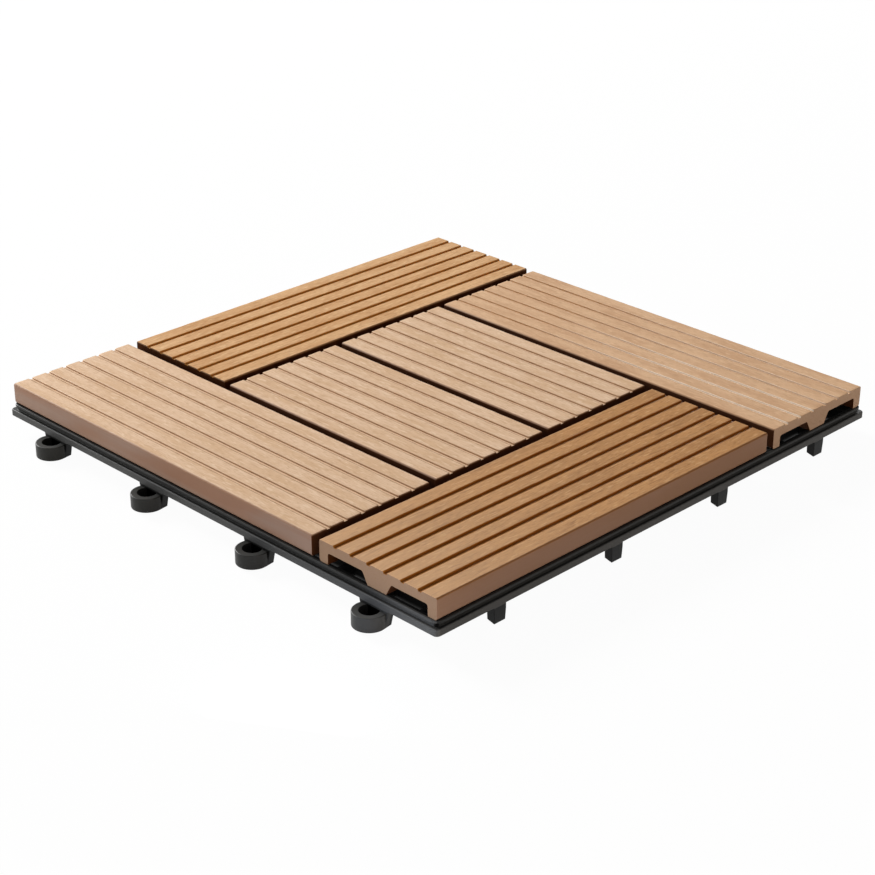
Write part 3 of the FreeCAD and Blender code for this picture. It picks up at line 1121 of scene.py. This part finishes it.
@dataclass(frozen=True)
class ScrewSet:
    """The screws of one board: pan heads with a cross recess, and a coarse thread to a point."""

    node: str
    places: tuple[complex, ...]
    head_end: float = 9.3
    seat: float = 11.5
    point: float = 22.0
    head_radius: float = 3.5
    crown: float = 0.7
    recess_half_length: float = 2.0
    recess_half_width: float = 0.42
    recess_depth: float = 1.2
    side_slope: float = 0.15
    end_slope: float = 0.5
    shank_radius: float = 1.7
    root_radius: float = 1.15
    thread_pitch: float = 1.4
    ridge_share: float = 0.28
    plain_length: float = 1.5
    point_length: float = 3.0
    blunt_share: float = 0.04
    # First, last and count of the rings' radii over the cross, and beyond it
    cross_rings: tuple[float, float, int] = (0.05, 2.4, 14)
    crown_rings: tuple[float, float, int] = (2.6, 3.25, 4)
    # Heights over the crown's edge, and how far the head is drawn in there
    edge_levels: tuple[tuple[float, float], ...] = ((0.1, 0.08), (0.3, 0.0))
    shank_rings: int = 52
    sides: int = 48
    crease: float = 40.0

    def head(self) -> np.ndarray:
        """Rings of the head, from its middle outwards and up to the seat.

        The crown's height grows with the square of the radius. The recess goes as deep as the
        nearness to a cross lets it, so its walls slope, and there the rings lie closer.

        Returns:
            Rings of points about the axis.
        """
        rows = [np.linspace(*rings) for rings in (self.cross_rings, self.crown_rings)]
        radius = np.concatenate(rows)[:, None]
        spoke = radius * Outline.circle(0j, 1, self.sides).points
        near, far = np.sort([abs(spoke.real), abs(spoke.imag)], axis=0)
        across = np.clip((self.recess_half_width - near) / self.side_slope + 1, 0, 1)
        along = np.clip((self.recess_half_length - far) / self.end_slope + 1, 0, 1)
        crown = self.crown * (abs(spoke) / self.head_radius) ** 2
        height = self.head_end + crown + self.recess_depth * across * along
        top = np.stack([spoke.real, spoke.imag, height], axis=-1)
        edge = self.head_end + self.crown
        levels = [(edge + rise, drawn) for rise, drawn in self.edge_levels] + [(self.seat, 0)]
        side = Outline.circle(0j, self.head_radius, self.sides).carried(np.array(levels))
        return np.concatenate([top, side])

    def shank(self) -> np.ndarray:
        """Rings of the shank: the thread is a ridge that follows the turn and the rise together.

        Its phase is the rise over the pitch less the share of the turn. The radius is the root's
        plus the ridge, and shrinks to nothing over the point.

        Returns:
            Rings of points about the axis.
        """
        rise = np.linspace(0, 1, self.shank_rings)[:, None] * (self.point - self.seat)
        turn = np.arange(self.sides) / self.sides
        phase = (rise / self.thread_pitch - turn) % 1
        ridge = np.clip(1 - abs(phase - 0.5) / self.ridge_share, 0, 1)
        plain = np.clip(1 - rise / self.plain_length, 0, 1)
        thread = (self.shank_radius - self.root_radius) * np.maximum(ridge, plain)
        left = np.clip((self.point - self.seat - rise) / self.point_length, self.blunt_share, 1)
        spoke = (self.root_radius + thread) * left * np.exp(2j * np.pi * turn)
        height = np.broadcast_to(self.seat + rise, spoke.shape)
        return np.stack([spoke.real, spoke.imag, height], axis=-1)

    def build(self, material: Material) -> Object:
        """Set a screw at each place.

        Args:
            material: The screws' finish.

        Returns:
            The screws' object.
        """
        rings = np.concatenate([self.head(), self.shank()])
        skin = Skin()
        for place in self.places:
            skin.add(rings + np.array([place.real, place.imag, 0]))
        screws = skin.mesh(self.node.replace("_board_", "_pan_head_"))
        return finished(screws, material, Slot.STEEL, self.node, self.crease)


# Studio
def direction(bearing: float, elevation: float) -> Vector:
    """Turn a bearing from +X and an elevation, in degrees, into a direction.

    Args:
        bearing: The bearing, anticlockwise from above.
        elevation: The elevation over the ground.

    Returns:
        The direction, one long.
    """
    turn, rise = math.radians(bearing), math.radians(elevation)
    level = math.cos(rise)
    return Vector((math.cos(turn) * level, math.sin(turn) * level, math.sin(rise)))


@dataclass(frozen=True)
class Lamp:
    """A soft square lamp that looks at the tile's middle.

    Its bearing is in degrees from +X, its distance and its size are in metres.
    """

    name: str
    bearing: float
    elevation: float
    distance: float
    size: float
    watts: float
    colour: str = "#FFFFFF"

    def place(self) -> None:
        """Hang the lamp in its place."""
        light = bpy.data.lights.new(self.name, "AREA")
        light.size = self.size
        light.energy = self.watts
        light.color = linear(self.colour)[:3]
        away = direction(self.bearing, self.elevation)
        lamp = placed(self.name, light)
        lamp.visible_camera = False
        turn = away.to_track_quat("Z", "Y").to_matrix().to_4x4()
        lamp.matrix_world = Matrix.Translation(away * self.distance) @ turn


@dataclass(frozen=True)
class Studio:
    """A white room with a pale floor and soft lamps, in metres."""

    floor_half: float = 6.0
    floor_height: float = -0.0001
    floor_colour: str = "#EFEFED"
    white: str = "#FFFFFF"
    ambient_colour: str = "#F6F8FF"
    ambient: float = 0.1
    floor_glow: float = 0.965
    lamps: tuple[Lamp, ...] = (
        Lamp("key_softbox", 177, 27, distance=5, size=1.4, watts=403),
        Lamp("left_fill", 225, 14, distance=0.75, size=0.3, watts=1.9, colour="#F1F1F1"),
        Lamp("warm_right_fill", -12, 9, distance=1.4, size=0.5, watts=4.5, colour="#FFE9D2"),
        Lamp("corner_card", -58, 5, distance=0.27, size=0.06, watts=0.033, colour="#D5E2FF"),
        Lamp("back_window", 123, 25, distance=2.2, size=0.45, watts=6),
    )

    def seen(self, tree: NodeTree) -> Node:
        """One for rays from the camera, a mirror or a lens, and nought for light that lights.

        Args:
            tree: The nodes that ask.

        Returns:
            The node that gives the value.
        """
        path = add_node(tree, "LightPath").outputs
        inputs = {0: path["Is Camera Ray"], 1: path["Is Glossy Ray"]}
        either = add_node(tree, "Math", inputs, operation="MAXIMUM")
        inputs = {0: either, 1: path["Is Transmission Ray"]}
        return add_node(tree, "Math", inputs, operation="MAXIMUM")

    def room(self) -> None:
        """Make the world: white to the eye, and a level light from all sides."""
        world = bpy.data.worlds.new("white_room")
        world.use_nodes = True
        bpy.context.scene.world = world
        tree = world.node_tree
        tree.nodes.clear()
        inputs = {"Color": self.ambient_colour, "Strength": self.ambient}
        light = add_node(tree, "Background", inputs)
        white = add_node(tree, "Background", {"Color": self.white, "Strength": 1.0})
        mix = add_node(tree, "MixShader", {0: self.seen(tree), 1: light, 2: white})
        add_node(tree, "OutputWorld", {"Surface": mix})

    def floor(self) -> None:
        """Lay the floor: white where it is lit, with a faint shadow of the tile."""
        half = self.floor_half
        corners = [(x, y, self.floor_height) for x, y, _ in oblong(-half, half, -half, half, 0)]
        mesh = bpy.data.meshes.new("studio_floor")
        mesh.from_pydata(corners, [], [(0, 1, 2, 3)])
        material, tree, _ = new_material("matt_white_floor")
        tree.nodes.clear()
        matt = add_node(tree, "BsdfDiffuse", {"Color": self.floor_colour})
        glow = add_node(tree, "Emission", {"Color": self.white, "Strength": 1.0})
        inputs = {0: self.seen(tree), 1: self.floor_glow}
        share = add_node(tree, "Math", inputs, operation="MULTIPLY")
        mix = add_node(tree, "MixShader", {0: share, 1: matt, 2: glow})
        add_node(tree, "OutputMaterial", {"Surface": mix})
        mesh.materials.append(material)
        placed("studio_floor", mesh)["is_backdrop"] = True

    def build(self) -> None:
        """Set up the room, the floor and the lamps."""
        self.room()
        self.floor()
        for lamp in self.lamps:
            lamp.place()
        bpy.context.scene.view_settings.view_transform = "Standard"


@dataclass(frozen=True)
class ProductCamera:
    """The camera of the photograph, fitted to the edges of the boards.

    It looks at a point of the boards' top plane, from a bearing from +X in degrees.
    """

    bearing: float = -45.035
    elevation: float = 25.822
    roll: float = 0.188
    distance: float = 976.006
    look_at: tuple[float, float, float] = (42.25, -42.131, 25.0)
    focal_length: float = 85.757
    sensor: float = 36.0
    clip_start: float = 0.05
    clip_end: float = 30.0

    def build(self) -> None:
        """Make the camera and make it the scene's own."""
        data = bpy.data.cameras.new("product_camera")
        data.sensor_width = self.sensor
        data.lens = self.focal_length
        data.clip_start = self.clip_start
        data.clip_end = self.clip_end
        back = direction(self.bearing, self.elevation)
        place = (Vector(self.look_at) + back * self.distance) * MM
        right = Vector((0, 0, 1)).cross(back).normalized()
        upright = Matrix((right, back.cross(right), back)).transposed()
        turn = upright @ Matrix.Rotation(math.radians(self.roll), 3, "Z")
        camera = placed("product_camera", data)
        camera.matrix_world = Matrix.Translation(place) @ turn.to_4x4()
        bpy.context.scene.camera = camera


# The tile
PALE = BrushedComposite(
    "brushed_composite_pale", ground="#D8B797", ground_shade="#CDA985", streak="#AC845D",
    fleck="#E2C5A6", streak_share=0.3, painted_groove_shade="#946C49", groove="#D4B290",
)
SANDY = BrushedComposite(
    "brushed_composite_sandy", ground="#D0A983", ground_shade="#C09670", streak="#A27A54",
    fleck="#D8B38C", streak_share=0.4, painted_groove_shade="#AC8052", groove="#CFA983",
    cut="#C0A086", specular=0.2,
)
# Boards along Y: darker, saturated tops and grooves, painted shade for the sheen they lack
AMBER = BrushedComposite(
    "brushed_composite_amber", ground="#D4A97B", ground_shade="#C49566", streak="#9A6C42",
    fleck="#DFBB8D", streak_share=0.5, painted_groove_shade="#BE8746", groove="#BE8746",
    specular=0.08,
)
BROWN = BrushedComposite(
    "brushed_composite_brown", ground="#B78654", ground_shade="#A87A4C", streak="#7D5230",
    fleck="#C99E6E", streak_share=0.6, painted_groove_shade="#9C6221", groove="#9C6221",
    skin="#9F7D68", skin_warm="#9C785F", cut="#9F8066", specular=0.08,
)


@dataclass(frozen=True)
class DeckTile:
    """The whole tile: four outer boards round two inner ones, on the base grid.

    The boards' finishes differ a little in tone. The two boards along Y are darker and more
    saturated, on top and in the grooves: painted shade for the sheen that the boards along X
    catch and for grooves that run across the key light. The back board shows pale dust with a
    painted glint, and the right board painted light towards its front end.
    """

    half_field: float = 148.0
    board_end: float = 72.0
    outer_seed: int = 11
    inner_seed: int = 21
    back_dust_and_glint: float = 0.9
    right_end_light: float = 0.45

    def boards(self) -> None:
        """Lay the boards."""
        pale, sandy, amber, brown = (batch.material() for batch in (PALE, SANDY, AMBER, BROWN))
        outer = (
            ("front_board", pale, {}),
            ("right_board", brown, {"painted_end_light": self.right_end_light}),
            ("back_board", sandy, {"dust_and_glint": self.back_dust_and_glint}),
            ("left_board", amber, {}),
        )
        for quarters, (node, finish, dust_and_light) in enumerate(outer):
            place = (-self.half_field, self.board_end, ROWS[0], quarters)
            Board(node, *place, self.outer_seed + quarters, **dust_and_light).build(finish)
        for number, node in enumerate(("inner_front_board", "inner_back_board")):
            place = (-self.board_end, self.board_end, ROWS[1 + number], 0)
            Board(node, *place, self.inner_seed + number).build(pale)

    def screws(self) -> None:
        """Set the screws, three under each outer board and two under each inner one."""
        steel = ZincPlate().material()
        outer = [x for x in ROWS if x < self.board_end]
        inner = [x for x in outer if x > -self.board_end]
        table = [
            (side, [complex(x, ROWS[0]) * 1j**quarters for x in outer])
            for quarters, side in enumerate(("front", "right", "back", "left"))
        ]
        table += [
            (side, [complex(x, row) for x in inner])
            for side, row in zip(("inner_front", "inner_back"), ROWS[1:])
        ]
        for side, places in table:
            ScrewSet(f"{side}_board_screws", tuple(places)).build(steel)

    def build(self) -> None:
        """Build the base, the boards and the screws."""
        BaseGrid().build(MouldedPolypropylene().material())
        self.boards()
        self.screws()


def write_sizes() -> None:
    """Gather the CAD model's box and the dressed model's box, in metres, as plain lists."""
    boxes = {"cad": CAD_BOX, "visual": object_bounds()}
    plain = {
        name: [[float(value) for value in corner] for corner in box] for name, box in boxes.items()
    }


def main() -> None:
    """Build the camera, the studio and the tile."""
    logging.basicConfig(level=logging.INFO, format="%(message)s")
    ProductCamera().build()
    Studio().build()
    DeckTile().build()
    write_sizes()


if __name__ == "__main__":
    main()
